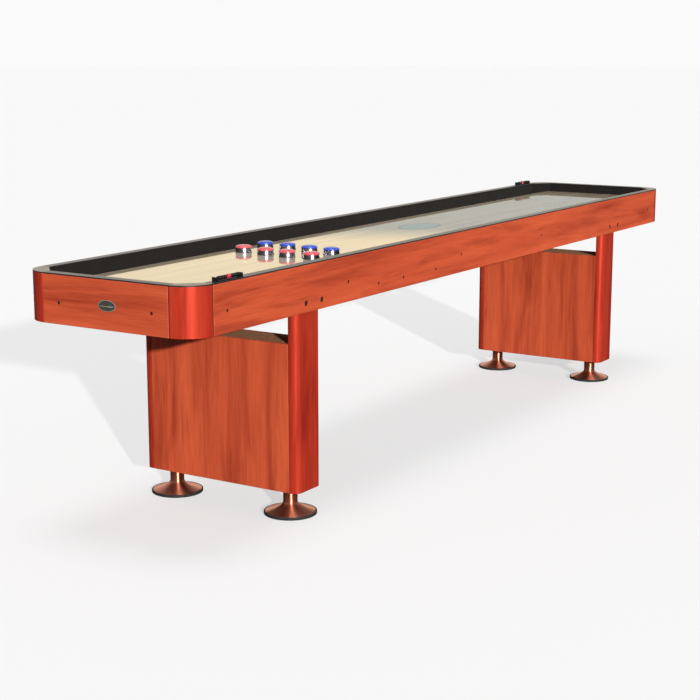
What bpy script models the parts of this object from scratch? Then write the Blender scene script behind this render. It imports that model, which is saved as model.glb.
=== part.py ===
"""Twelve-foot shuffleboard table, built from its separate pieces.

Metres, +Z up.  The origin is on the floor under the middle of the table.
+X runs along the table, -Y is the front long side.  "left" is -X, "back" is +Y.
"""
import math

import bmesh
import bpy
from mathutils import Matrix, Vector

# ---------------------------------------------------------------- driving dimensions
LENGTH = 3.658            # overall, 12 ft
WIDTH = 0.671             # overall
RAIL_TOP = 0.844          # top of the rail trim above the floor
APRON_HEIGHT = 0.152
APRON_THICKNESS = 0.020
CORNER_RADIUS = 0.093     # outside radius of the quarter-round corner posts
TRIM_WIDTH = 0.034
TRIM_THICKNESS = 0.0037
LINER_THICKNESS = 0.013   # carpeted board inside each apron
PLAYFIELD_HALF_WIDTH = 0.2125
PLAYFIELD_HALF_LENGTH = 1.700
PLAYFIELD_TOP = 0.8124
PLAYFIELD_THICKNESS = 0.050
GUTTER_FLOOR_THICKNESS = 0.015
CROSS_RAIL_X = 0.350      # distance of each cross rail from the middle
CROSS_RAIL_WIDTH = 0.070
CROSS_RAIL_HEIGHT = 0.050

LEG_CENTRES_X = {-1: -1.212, 1: 1.243}   # the pedestals stand a little off centre
LEG_DEPTH = 0.142         # along the table
LEG_BOTTOM = 0.091
LEG_POST_THICKNESS = 0.034
LEG_POST_RADIUS = 0.026   # rounding of the two outer edges of a post
LEG_BOX_TOP = 0.584
LEG_PANEL_THICKNESS = 0.015
BASE_BOARD_BOTTOM = 0.121

FOOT_Y = 0.2375
PAD_RADIUS = 0.0885
PAD_THICKNESS = 0.0075
PAD_LIP_HEIGHT = 0.0105    # the ring of the pad that wraps the rim of the foot
PAD_LIP_WIDTH = 0.0045
FOOT_RIM_RADIUS = 0.0836
FOOT_RIM_THICKNESS = 0.003
FOOT_FLARE_TOP = 0.042
FLARE_CURVE = 1.9           # how quickly the flare spreads
NECK_RADIUS = 0.0240
NECK_TOP = 0.100
STEM_RADIUS = 0.008
STEM_TOP = 0.165
STEM_HOLE_RADIUS = 0.0086

PUCK_RADIUS = 0.0290
PUCK_BODY_HEIGHT = 0.0155
PUCK_CAP_RADIUS = 0.0278
PUCK_HEIGHT = 0.0255
PUCK_PLACES = {             # two rows set down by hand, from the back to the front
    "red": ((-0.944, 0.136), (-0.959, 0.032), (-0.963, -0.060), (-0.966, -0.161)),
    "blue": ((-0.818, 0.133), (-0.814, 0.040), (-0.829, -0.062), (-0.832, -0.155)),
}

SCORER_X = 1.6490         # distance of a scorer's middle from the table's middle
SCORER_LENGTH = 0.124
SCORER_WIDTH = 0.022
SCORER_INSET = 0.0135      # from the rail's outer edge to the middle of a scorer
SCORER_BASE_THICKNESS = 0.001
SCORER_END_THICKNESS = 0.003
SCORER_END_HEIGHT = 0.0135
ROD_RADIUS = 0.0016
BEAD_BORE_RADIUS = 0.0022
BEAD_RADIUS = 0.0062
MARKER_RADIUS = 0.0075
BEAD_LENGTH = 0.0086
BEADS_IN_A_GROUP = 5
BEAD_PLAY = 0.003         # free space each side of the marker bead

SCREW_RADIUS = 0.0055
SCREW_DEPTH = 0.003
SCREW_ROW_DROP = 0.085    # upper screws, below the top of the apron
SCREW_ROW_X = (-1.670, -1.008, -0.219, 0.476, 1.652)
LOW_SCREW_DROP = 0.116
LOW_SCREW_X = (-0.815, -0.647, -0.415)
END_SCREW_Y = 0.180
BOLT_RADIUS = 0.0092
BOLT_DEPTH = 0.006
BOLT_DROP = 0.122
BOLT_SPACING = 0.090      # the two bolts that hold one leg post
BADGE_POCKET_WIDTH = 0.070   # oval pocket for a badge in the left end
BADGE_POCKET_HEIGHT = 0.036
BADGE_POCKET_DEPTH = 0.0022
BADGE_POCKET_DROP = 0.078
BADGE_POCKET_Y = -0.010

GAP = 0.0003              # clearance between pieces that touch
EDGE = 0.0010             # small bevel on the boards
ROUND_STEPS = 24          # sides of the turned pieces
BEAD_STEPS = 12

# ---------------------------------------------------------------- worked-out levels
APRON_TOP = RAIL_TOP - TRIM_THICKNESS - GAP
APRON_BOTTOM = APRON_TOP - APRON_HEIGHT
POST_X = LENGTH / 2 - CORNER_RADIUS
POST_Y = WIDTH / 2 - CORNER_RADIUS
INSIDE_X = LENGTH / 2 - APRON_THICKNESS - GAP
INSIDE_Y = WIDTH / 2 - APRON_THICKNESS - GAP
GUTTER_TOP = PLAYFIELD_TOP - PLAYFIELD_THICKNESS - GAP
GUTTER_BOTTOM = GUTTER_TOP - GUTTER_FLOOR_THICKNESS
LEG_Y = INSIDE_Y
LEG_INNER_Y = LEG_Y - LEG_POST_THICKNESS
ROD_Z = RAIL_TOP + GAP + SCORER_BASE_THICKNESS + MARKER_RADIUS + GAP


# ---------------------------------------------------------------- helpers
def clear_scene():
    for obj in list(bpy.data.objects):
        bpy.data.objects.remove(obj, do_unlink=True)


def make_material(name, colour, roughness, metallic=0.0):
    mat = bpy.data.materials.new(name)
    mat.use_nodes = True
    shader = mat.node_tree.nodes["Principled BSDF"]
    shader.inputs["Base Color"].default_value = (*colour, 1.0)
    shader.inputs["Roughness"].default_value = roughness
    shader.inputs["Metallic"].default_value = metallic
    mat.diffuse_color = (*colour, 1.0)
    return mat


def add_object(name, bm, material, location=(0, 0, 0), smooth=False):
    """Turn a bmesh into a linked object whose faces point outwards."""
    bmesh.ops.recalc_face_normals(bm, faces=bm.faces)
    mesh = bpy.data.meshes.new(name)
    bm.to_mesh(mesh)
    bm.free()
    if smooth:
        mesh.shade_smooth()
        mesh.set_sharp_from_angle(angle=math.radians(35))
    mesh.materials.append(material)
    obj = bpy.data.objects.new(name, mesh)
    obj.location = location
    bpy.context.scene.collection.objects.link(obj)
    return obj


def bevel(obj, width=EDGE, angle=60):
    mod = obj.modifiers.new("edges", "BEVEL")
    mod.width = width
    mod.segments = 1
    mod.limit_method = "ANGLE"
    mod.angle_limit = math.radians(angle)
    return obj


def add_prism(name, outline, low, high, material, smooth=False):
    """Extrude a flat outline of (x, y) points from height low to height high."""
    bm = bmesh.new()
    face = bm.faces.new([bm.verts.new((x, y, low)) for x, y in outline])
    made = bmesh.ops.extrude_face_region(bm, geom=[face])["geom"]
    top = [v for v in made if isinstance(v, bmesh.types.BMVert)]
    bmesh.ops.translate(bm, verts=top, vec=(0, 0, high - low))
    return add_object(name, bm, material, smooth=smooth)


def add_board(name, low, high, material, edge=EDGE):
    """A rectangular board between two opposite corners."""
    outline = [(low[0], low[1]), (high[0], low[1]), (high[0], high[1]), (low[0], high[1])]
    board = add_prism(name, outline, low[2], high[2], material)
    return bevel(board, edge) if edge else board


def turned(profile, steps):
    """Turn a profile of (radius, height) points about +Z; radius 0 makes a pole."""
    bm = bmesh.new()
    rings = []
    for radius, height in profile:
        if radius == 0:
            rings.append([bm.verts.new((0, 0, height))])
            continue
        ring = []
        for step in range(steps):
            angle = 2 * math.pi * step / steps
            ring.append(bm.verts.new((radius * math.cos(angle), radius * math.sin(angle), height)))
        rings.append(ring)
    closed = profile[0][0] != 0
    pairs = list(zip(rings, rings[1:] + rings[:1])) if closed else list(zip(rings, rings[1:]))
    for lower, upper in pairs:
        for step in range(steps):
            following = (step + 1) % steps
            corners = [lower[step % len(lower)], lower[following % len(lower)],
                       upper[following % len(upper)], upper[step % len(upper)]]
            bm.faces.new(list(dict.fromkeys(corners)))
    return bm


def add_hole_cutter(name, centres, axis, radius, depth, steps=ROUND_STEPS // 2):
    """Round cutters centred on points of a surface, reaching depth to both sides of it."""
    bm = bmesh.new()
    turn = Vector((0, 0, 1)).rotation_difference(Vector(axis)).to_matrix().to_4x4()
    for centre in centres:
        bmesh.ops.create_cone(bm, cap_ends=True, segments=steps, radius1=radius,
                              radius2=radius, depth=2 * depth,
                              matrix=Matrix.Translation(centre) @ turn)
    cutter = add_object(name, bm, MATERIALS["cutter"])
    cutter.hide_render = True
    cutter.display_type = "WIRE"
    return cutter


def boolean(obj, other, operation):
    mod = obj.modifiers.new(other.name, "BOOLEAN")
    mod.operation = operation
    mod.solver = "EXACT"
    mod.object = other


def arc(centre, radius, start, end, steps):
    """Points on an arc, angles in degrees."""
    points = []
    for step in range(steps + 1):
        angle = math.radians(start + (end - start) * step / steps)
        points.append((centre[0] + radius * math.cos(angle), centre[1] + radius * math.sin(angle)))
    return points


def quadrants():
    """The four corners of the table: name, sign along X, sign along Y."""
    for side_y, sign_y in (("front", -1), ("back", 1)):
        for side_x, sign_x in (("left", -1), ("right", 1)):
            yield f"{side_y}_{side_x}", sign_x, sign_y


# ---------------------------------------------------------------- the cabinet
def build_aprons():
    wood = MATERIALS["cherry_laminate"]
    upper = APRON_TOP - SCREW_ROW_DROP
    lower = APRON_TOP - LOW_SCREW_DROP
    bolt_z = APRON_TOP - BOLT_DROP
    bolts = [centre + half * BOLT_SPACING / 2 for centre in LEG_CENTRES_X.values() for half in (-1, 1)]
    for side, sign in (("front", -1), ("back", 1)):
        outer = sign * WIDTH / 2
        inner = sign * (WIDTH / 2 - APRON_THICKNESS)
        apron = add_board(f"side_apron_{side}", (-POST_X + GAP, min(outer, inner), APRON_BOTTOM),
                          (POST_X - GAP, max(outer, inner), APRON_TOP), wood)
        screws = [(-sign * x, outer, upper) for x in SCREW_ROW_X]
        screws += [(-sign * x, outer, lower) for x in LOW_SCREW_X]
        boolean(apron, add_hole_cutter(f"cut_screws_{side}", screws, (0, 1, 0),
                                       SCREW_RADIUS, SCREW_DEPTH), "DIFFERENCE")
        holes = [(x, outer, bolt_z) for x in bolts]
        boolean(apron, add_hole_cutter(f"cut_bolts_{side}", holes, (0, 1, 0),
                                       BOLT_RADIUS, BOLT_DEPTH), "DIFFERENCE")
    for side, sign in (("left", -1), ("right", 1)):
        outer = sign * LENGTH / 2
        inner = sign * (LENGTH / 2 - APRON_THICKNESS)
        apron = add_board(f"end_apron_{side}", (min(outer, inner), -POST_Y + GAP, APRON_BOTTOM),
                          (max(outer, inner), POST_Y - GAP, APRON_TOP), wood)
        screws = [(outer, half * END_SCREW_Y, upper) for half in (-1, 1)]
        boolean(apron, add_hole_cutter(f"cut_screws_{side}", screws, (1, 0, 0),
                                       SCREW_RADIUS, SCREW_DEPTH), "DIFFERENCE")
        if side == "left":
            pocket = add_hole_cutter("cut_badge", [(0, 0, 0)], (1, 0, 0),
                                     BADGE_POCKET_HEIGHT / 2, BADGE_POCKET_DEPTH, 2 * ROUND_STEPS)
            pocket.location = (outer, BADGE_POCKET_Y, APRON_TOP - BADGE_POCKET_DROP)
            pocket.scale.y = BADGE_POCKET_WIDTH / BADGE_POCKET_HEIGHT
            boolean(apron, pocket, "DIFFERENCE")


def corner_outline(sign_x, sign_y, inset):
    """Quarter-round outside, straight diagonal inside, for one corner of the table."""
    outside = arc((POST_X, POST_Y), CORNER_RADIUS, 0, 90, 12)
    inside = [(POST_X, WIDTH / 2 - inset), (LENGTH / 2 - inset, POST_Y)]
    return [(sign_x * x, sign_y * y) for x, y in outside + inside]


def build_corners():
    inset = APRON_THICKNESS + LINER_THICKNESS
    for name, sign_x, sign_y in quadrants():
        add_prism(f"corner_post_{name}", corner_outline(sign_x, sign_y, inset),
                  APRON_BOTTOM, APRON_TOP, MATERIALS["red_stained_wood"], smooth=True)
        add_prism(f"rail_cap_{name}", corner_outline(sign_x, sign_y, TRIM_WIDTH),
                  APRON_TOP + GAP, RAIL_TOP, MATERIALS["rail_metal"], smooth=True)


def build_rail_trim():
    low, high = APRON_TOP + GAP, RAIL_TOP
    metal = MATERIALS["rail_metal"]
    for side, sign in (("front", -1), ("back", 1)):
        edges = sorted((sign * WIDTH / 2, sign * (WIDTH / 2 - TRIM_WIDTH)))
        add_board(f"rail_trim_{side}", (-POST_X + GAP, edges[0], low),
                  (POST_X - GAP, edges[1], high), metal, EDGE / 2)
    for side, sign in (("left", -1), ("right", 1)):
        edges = sorted((sign * LENGTH / 2, sign * (LENGTH / 2 - TRIM_WIDTH)))
        add_board(f"rail_trim_{side}", (edges[0], -POST_Y + GAP, low),
                  (edges[1], POST_Y - GAP, high), metal, EDGE / 2)


def build_lining():
    carpet = MATERIALS["black_carpet"]
    low, high = GUTTER_TOP + GAP, APRON_TOP
    for side, sign in (("front", -1), ("back", 1)):
        edges = sorted((sign * INSIDE_Y, sign * (INSIDE_Y - LINER_THICKNESS + 2 * GAP)))
        add_board(f"carpet_wall_{side}", (-POST_X + GAP, edges[0], low),
                  (POST_X - GAP, edges[1], high), carpet, 0)
    for side, sign in (("left", -1), ("right", 1)):
        edges = sorted((sign * INSIDE_X, sign * (INSIDE_X - LINER_THICKNESS + 2 * GAP)))
        add_board(f"carpet_wall_{side}", (edges[0], -POST_Y + GAP, low),
                  (edges[1], POST_Y - GAP, high), carpet, 0)
    outline = []
    for sign_x, sign_y in ((1, 1), (-1, 1), (-1, -1), (1, -1)):
        corner = [(INSIDE_X, POST_Y - GAP), (POST_X - GAP, INSIDE_Y)]
        corner = [(sign_x * x, sign_y * y) for x, y in corner]
        outline += corner if sign_x * sign_y > 0 else corner[::-1]
    add_prism("gutter_floor", clip_to_posts(outline), GUTTER_BOTTOM, GUTTER_TOP, carpet)


def clip_to_posts(outline):
    """Pull each diagonal edge inwards until it clears the corner posts."""
    reach = LINER_THICKNESS + 2 * GAP
    clipped = []
    for x, y in outline:
        if abs(y) < INSIDE_Y:
            clipped.append((x, math.copysign(abs(y) - reach, y)))
        else:
            clipped.append((math.copysign(abs(x) - reach, x), y))
    return clipped


def build_playfield():
    underside = PLAYFIELD_TOP - PLAYFIELD_THICKNESS
    add_board("playfield", (-PLAYFIELD_HALF_LENGTH, -PLAYFIELD_HALF_WIDTH, underside),
              (PLAYFIELD_HALF_LENGTH, PLAYFIELD_HALF_WIDTH, PLAYFIELD_TOP), MATERIALS["maple"])
    top = GUTTER_BOTTOM - GAP
    for side, sign in (("left", -1), ("right", 1)):
        near = sign * CROSS_RAIL_X - CROSS_RAIL_WIDTH / 2
        add_board(f"cross_rail_{side}", (near, -INSIDE_Y, top - CROSS_RAIL_HEIGHT),
                  (near + CROSS_RAIL_WIDTH, INSIDE_Y, top), MATERIALS["raw_board"])


# ---------------------------------------------------------------- the pedestals
def build_leg_posts():
    """Boards whose two outer vertical edges are rounded; they bolt inside the side aprons."""
    half = LEG_DEPTH / 2
    radius = LEG_POST_RADIUS
    for name, sign_x, sign_y in quadrants():
        outline = [(-half, LEG_INNER_Y)]
        outline += arc((-half + radius, LEG_Y - radius), radius, 180, 90, 6)
        outline += arc((half - radius, LEG_Y - radius), radius, 90, 0, 6)
        outline += [(half, LEG_INNER_Y)]
        placed = [(LEG_CENTRES_X[sign_x] + x, sign_y * y) for x, y in outline]
        add_prism(f"leg_post_{name}", placed, LEG_BOTTOM, GUTTER_BOTTOM - GAP,
                  MATERIALS["red_stained_wood"], smooth=True)


def build_leg_boxes():
    half = LEG_DEPTH / 2
    reach = LEG_INNER_Y - GAP
    inside = half - LEG_PANEL_THICKNESS - GAP
    for side, sign in (("left", -1), ("right", 1)):
        centre = LEG_CENTRES_X[sign]
        for face, out in (("outer", sign), ("inner", -sign)):
            edges = sorted((centre + out * half, centre + out * (half - LEG_PANEL_THICKNESS)))
            add_board(f"leg_panel_{side}_{face}", (edges[0], -reach, LEG_BOTTOM),
                      (edges[1], reach, LEG_BOX_TOP), MATERIALS["cherry_laminate"])
        add_board(f"leg_top_board_{side}", (centre - inside, -reach, LEG_BOX_TOP - LEG_PANEL_THICKNESS),
                  (centre + inside, reach, LEG_BOX_TOP), MATERIALS["raw_board"], 0)
        base = add_board(f"leg_base_board_{side}", (centre - inside, -reach, BASE_BOARD_BOTTOM),
                         (centre + inside, reach, BASE_BOARD_BOTTOM + LEG_PANEL_THICKNESS),
                         MATERIALS["raw_board"], 0)
        middle = BASE_BOARD_BOTTOM + LEG_PANEL_THICKNESS / 2
        holes = [(centre, half_y * FOOT_Y, middle) for half_y in (-1, 1)]
        boolean(base, add_hole_cutter(f"cut_stems_{side}", holes, (0, 0, 1), STEM_HOLE_RADIUS,
                                      LEG_PANEL_THICKNESS), "DIFFERENCE")


def foot_profile():
    """Threaded stem, straight neck and a flare that spreads to a thin rim."""
    base = PAD_THICKNESS + GAP
    rim_top = base + FOOT_RIM_THICKNESS
    points = [(0, base), (FOOT_RIM_RADIUS - EDGE, base), (FOOT_RIM_RADIUS, base + EDGE),
              (FOOT_RIM_RADIUS, rim_top - EDGE)]
    steps = 8
    for step in range(steps + 1):
        part = step / steps
        radius = NECK_RADIUS + (FOOT_RIM_RADIUS - EDGE - NECK_RADIUS) * (1 - part) ** FLARE_CURVE
        points.append((radius, rim_top + (FOOT_FLARE_TOP - rim_top) * part))
    points += [(NECK_RADIUS, NECK_TOP), (STEM_RADIUS, NECK_TOP), (STEM_RADIUS, STEM_TOP), (0, STEM_TOP)]
    return points


def build_levelers():
    inside = PAD_RADIUS - PAD_LIP_WIDTH
    pad = [(0, 0), (PAD_RADIUS - 2 * EDGE, 0), (PAD_RADIUS, 2 * EDGE),
           (PAD_RADIUS, PAD_LIP_HEIGHT - EDGE), (PAD_RADIUS - EDGE, PAD_LIP_HEIGHT),
           (inside, PAD_LIP_HEIGHT), (inside, PAD_THICKNESS), (0, PAD_THICKNESS)]
    for name, sign_x, sign_y in quadrants():
        place = (LEG_CENTRES_X[sign_x], sign_y * FOOT_Y, 0)
        add_object(f"leveler_foot_{name}", turned(foot_profile(), ROUND_STEPS),
                   MATERIALS["copper"], place, smooth=True)
        add_object(f"leveler_pad_{name}", turned(pad, ROUND_STEPS),
                   MATERIALS["black_rubber"], place, smooth=True)


# ---------------------------------------------------------------- pucks and scorers
def puck_profile():
    """A metal body with a screwed-on cap that is slightly narrower and domed."""
    chamfer = EDGE / 2
    dome = PUCK_HEIGHT - PUCK_BODY_HEIGHT
    points = [(0, 0), (PUCK_RADIUS - chamfer, 0), (PUCK_RADIUS, chamfer),
              (PUCK_RADIUS, PUCK_BODY_HEIGHT - chamfer), (PUCK_RADIUS - chamfer, PUCK_BODY_HEIGHT)]
    points += [(PUCK_CAP_RADIUS * share, PUCK_BODY_HEIGHT + dome * rise)
               for share, rise in ((1.0, 0.0), (1.0, 0.22), (0.93, 0.52), (0.78, 0.78), (0.45, 0.95))]
    return points + [(0, PUCK_HEIGHT)]


def build_pucks():
    for colour, places in PUCK_PLACES.items():
        for index, (x, y) in enumerate(places, 1):
            add_object(f"puck_{colour}_{index}", turned(puck_profile(), ROUND_STEPS),
                       MATERIALS[f"puck_{colour}"], (x, y, PLAYFIELD_TOP + GAP), smooth=True)


def bead_profile(radius, length, count):
    """A string of count touching beads, starting at height 0, round a plain bore."""
    points = []
    for index in range(count):
        start = index * length
        for part, share in ((0.0, 0.62), (0.22, 0.93), (0.5, 1.0), (0.78, 0.93)):
            points.append((radius * share, start + part * length))
    points.append((radius * 0.62, count * length))
    points += [(BEAD_BORE_RADIUS, count * length), (BEAD_BORE_RADIUS, 0)]
    return points


def add_beads(name, profile, material, place, direction):
    """Beads turned about the rod, growing along +X or -X from place."""
    bm = turned(profile, BEAD_STEPS)
    lie_down = Matrix.Rotation(direction * math.pi / 2, 4, "Y")
    bmesh.ops.transform(bm, matrix=lie_down, verts=bm.verts)
    add_object(name, bm, material, place, smooth=True)


def build_scorers():
    """One abacus scorer on each long rail, at opposite ends of the table.

    The frame is a channel drawn in (x, z), extruded across the rail and joined to its rod.
    """
    half = SCORER_LENGTH / 2
    base = RAIL_TOP + GAP
    tip = base + SCORER_END_HEIGHT
    clear = half - SCORER_END_THICKNESS
    channel = [(-half, base), (half, base), (half, tip), (clear, tip),
               (clear, base + SCORER_BASE_THICKNESS), (-clear, base + SCORER_BASE_THICKNESS),
               (-clear, tip), (-half, tip)]
    group = BEADS_IN_A_GROUP * BEAD_LENGTH
    marker = 2 * MARKER_RADIUS
    for side, sign in (("front", -1), ("back", 1)):
        centre_x = sign * SCORER_X
        centre_y = sign * (WIDTH / 2 - SCORER_INSET)
        frame = add_prism(f"scorer_frame_{side}", channel, -SCORER_WIDTH / 2, SCORER_WIDTH / 2,
                          MATERIALS["black_metal"])
        frame.data.transform(Matrix.Rotation(math.pi / 2, 4, "X"))
        frame.location = (centre_x, centre_y, 0)
        rod_mesh = bmesh.new()
        bmesh.ops.create_cone(rod_mesh, cap_ends=True, segments=BEAD_STEPS, radius1=ROD_RADIUS,
                              radius2=ROD_RADIUS, depth=2 * clear + SCORER_END_THICKNESS,
                              matrix=Matrix.Rotation(math.pi / 2, 4, "Y"))
        rod = add_object(f"cut_rod_{side}", rod_mesh, MATERIALS["cutter"],
                         (centre_x, centre_y, ROD_Z))
        rod.hide_render = True
        rod.display_type = "WIRE"
        boolean(frame, rod, "UNION")
        # The inner group stops close to the inboard end; the spare length is at the outboard end.
        inboard = centre_x - sign * (clear - 2 * BEAD_PLAY / 3)
        marker_start = inboard + sign * (group + BEAD_PLAY)
        outer_start = marker_start + sign * (marker + BEAD_PLAY)
        plain = bead_profile(BEAD_RADIUS, BEAD_LENGTH, BEADS_IN_A_GROUP)
        single = bead_profile(MARKER_RADIUS, marker, 1)
        for name, profile, start, material in (
                (f"scorer_beads_{side}_inner", plain, inboard, "black_bead"),
                (f"scorer_marker_{side}", single, marker_start, "red_bead"),
                (f"scorer_beads_{side}_outer", plain, outer_start, "black_bead")):
            add_beads(name, profile, MATERIALS[material], (start, centre_y, ROD_Z), sign)


clear_scene()
MATERIALS = {
    "cherry_laminate": make_material("cherry_laminate", (0.60, 0.13, 0.05), 0.40),
    "red_stained_wood": make_material("red_stained_wood", (0.55, 0.05, 0.02), 0.28),
    "rail_metal": make_material("rail_metal", (0.20, 0.20, 0.22), 0.30, 0.9),
    "black_carpet": make_material("black_carpet", (0.022, 0.020, 0.018), 0.95),
    "maple": make_material("maple", (0.62, 0.48, 0.30), 0.08),
    "raw_board": make_material("raw_board", (0.33, 0.20, 0.11), 0.70),
    "copper": make_material("copper", (0.75, 0.36, 0.22), 0.28, 1.0),
    "black_rubber": make_material("black_rubber", (0.02, 0.02, 0.02), 0.70),
    "puck_red": make_material("puck_red", (0.70, 0.05, 0.06), 0.30),
    "puck_blue": make_material("puck_blue", (0.02, 0.08, 0.60), 0.30),
    "black_metal": make_material("black_metal", (0.015, 0.015, 0.016), 0.40),
    "black_bead": make_material("black_bead", (0.012, 0.012, 0.012), 0.30),
    "red_bead": make_material("red_bead", (0.65, 0.02, 0.04), 0.30),
    "cutter": make_material("cutter", (0.5, 0.5, 0.5), 0.5),
}
build_aprons()
build_corners()
build_rail_trim()
build_lining()
build_playfield()
build_leg_posts()
build_leg_boxes()
build_levelers()
build_pucks()
build_scorers()
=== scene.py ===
"""Looks of a twelve-foot shuffleboard table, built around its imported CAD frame.

Metres, +Z up: +X runs along the table, -Y is the front long side, the floor is at 0.
"""

import math

import bmesh
import bpy
from mathutils import Matrix, Vector, noise


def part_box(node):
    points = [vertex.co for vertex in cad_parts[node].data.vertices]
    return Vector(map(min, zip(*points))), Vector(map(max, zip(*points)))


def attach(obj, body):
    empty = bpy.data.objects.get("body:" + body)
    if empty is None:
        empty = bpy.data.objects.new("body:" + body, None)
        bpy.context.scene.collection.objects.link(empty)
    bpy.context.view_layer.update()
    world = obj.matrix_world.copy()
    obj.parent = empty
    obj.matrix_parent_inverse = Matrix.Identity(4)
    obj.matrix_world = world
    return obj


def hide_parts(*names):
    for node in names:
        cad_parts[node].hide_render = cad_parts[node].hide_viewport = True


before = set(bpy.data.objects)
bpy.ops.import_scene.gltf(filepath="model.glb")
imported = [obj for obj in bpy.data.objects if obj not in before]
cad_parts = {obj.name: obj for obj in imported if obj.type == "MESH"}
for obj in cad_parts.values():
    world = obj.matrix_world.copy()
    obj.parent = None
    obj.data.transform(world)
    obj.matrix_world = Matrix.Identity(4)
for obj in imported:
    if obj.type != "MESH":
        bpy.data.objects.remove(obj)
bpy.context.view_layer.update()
TABLE = "table"                      # the body that doesn't move
QUADRANTS = [(f"{y}_{x}", -1 if x == "left" else 1, -1 if y == "front" else 1)
             for y in ("front", "back") for x in ("left", "right")]

# ---------------------------------------------------------------- camera and light
CAMERA_PLACE = (-5.164, -2.963, 1.5105)
CAMERA_AZIMUTH = 32.24               # degrees from +X towards +Y
CAMERA_PITCH = 11.33                 # degrees below the horizon
CAMERA_LENS = 77.68
KEY_AZIMUTH = 49.5                   # the key light travels this way, degrees from +X towards +Y
KEY_DROP = 13.4                      # and this many degrees downwards
KEY_STRENGTH = 4.55
KEY_SPREAD = 1.2                     # degrees that the light is wide, which softens its shadows
KEY_COLOUR = (1.0, 0.97, 0.93)
TOP_DROP = 89.9
TOP_STRENGTH = 1.0
TOP_SPREAD = 24.0
FLOOR_REACH = 120.0
FLOOR_COLOUR = (0.36, 0.36, 0.36)
FLOOR_GLOW = 0.56
BACKDROP_RADIUS = 118.0
BACKDROP_HEIGHT = 60.0
BACKDROP_GLOW = 0.957
# brightness of the surroundings by degrees above the horizon
BRIGHT_SIDE = ((-90.0, (0.10, 0.09, 0.10)), (-4.0, (0.12, 0.11, 0.12)), (-2.0, (0.95, 0.95, 0.95)),
               (2.2, (0.95, 0.95, 0.95)), (3.6, (0.49, 0.54, 0.53)), (6.8, (0.47, 0.52, 0.51)),
               (7.1, (1.25, 1.06, 0.70)), (14.0, (1.30, 1.15, 0.85)), (22.0, (0.50, 0.50, 0.50)),
               (90.0, (0.40, 0.40, 0.40)))
DIM_SIDE = ((-90.0, (0.07, 0.06, 0.07)), (-6.0, (0.06, 0.05, 0.055)), (11.0, (0.05, 0.05, 0.05)),
            (15.0, (0.80, 0.80, 0.84)), (28.0, (0.75, 0.75, 0.80)), (42.0, (0.26, 0.26, 0.27)),
            (90.0, (0.34, 0.34, 0.34)))
BRIGHT_AZIMUTH = 32.0                # the middle of the bright side, behind the table
SIDE_BLEND = (0.72, 0.93)            # cosine of the angle to it: dim below these, bright above

# ---------------------------------------------------------------- sizes of the fine details
TURNED_STEPS = 96
POST_ROUNDING = 0.006                # where a corner post's round face meets the aprons
POST_EDGE = 0.0012
CAP_OVERHANG = 0.001                 # of a rail cap over its post, on the inside
TRIM_EDGE = 0.0008
LEG_ROUNDING = 0.026

CARPET_CELL = 0.006
CARPET_PILE = 0.0009
GLUE_GAP = 0.0002
GUTTER_CELL = 0.011
GUTTER_CARPET = 0.003                # thickness of the carpet on the gutter board
GUTTER_SETBACK = 0.014               # the board's cut corners stop this far short of the posts
GUTTER_TUCK = 0.0005                 # and its carpet this far inside the cut
CORNER_CARPET = 0.0025               # thickness of the carpet on the corner posts
CORNER_LAP = 0.008                   # its width beyond a post's diagonal face

PLAYFIELD_EDGE = 0.0025
EMBLEM_HALF = (0.122, 0.072)         # half length and half width of the oval on the playfield
EMBLEM_X = 0.052
EMBLEM_STEPS = 96
EMBLEM_BASE = 0.00002                # the ink's lower face above the playfield
# piece, share of the oval's size, material, and height of the upper face above the playfield
EMBLEM_LAYERS = (("emblem_ring", 1.0, "emblem_ring", 0.00015),
                 ("emblem_field", 0.86, "emblem", 0.00025))

BADGE_HALF = (0.0345, 0.0175)        # half length and half height of the oval badge
BADGE_Y = -0.010
BADGE_DROP = 0.078                   # its centre below the top of the end apron
BADGE_STEPS = 64
BADGE_RIM_HEIGHT = 0.0012
BADGE_FIELD_HEIGHT = 0.0015
BADGE_DEPTH = 0.0021                 # its back lies this deep, and its bar ends flush with the apron
BADGE_FIELD_SHARE = 0.89             # of the badge's size
BADGE_BAR_SHARE = (0.72, 0.08)       # of its half length and half height
BADGE_BAR_SHIFT = 0.12

FOOT_BRIM = 0.003
FLARE_TOP = 0.042
FLARE_POWER = 1.9
NECK_RADIUS = 0.0240
NECK_TOP = 0.100
STEM_RADIUS = 0.0078
THREAD_PITCH = 0.002
THREAD_DEPTH = 0.0009

PUCK_METAL_HEIGHT = 0.0155
BRACKET_PLATE = 0.001                # thickness of a scorer frame's base
BRACKET_END = 0.003                  # and of its uprights
ROD_RADIUS = 0.0016
BEAD_BORE = 0.0021
BEAD_GAP = 0.0002
BEADS_IN_GROUP = 5

SCREW_HEAD = (0.0048, 0.0016)        # radius and height
SCREW_SEAT = 0.0029                  # depth of the seat below the apron's face
BOLT_HEAD = (0.0087, 0.0048)
BOLT_SEAT = 0.0059
UPPER_SCREWS_X = (-1.670, -1.008, -0.219, 0.476, 1.652)
LOWER_SCREWS_X = (-0.815, -0.647, -0.415)
UPPER_SCREW_DROP = 0.085             # below the top of the apron
LOWER_SCREW_DROP = 0.116
BOLT_DROP = 0.122
BOLT_SPREAD = 0.045                  # of the two bolts of a leg to each side of its middle
END_SCREW_Y = 0.180


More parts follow.
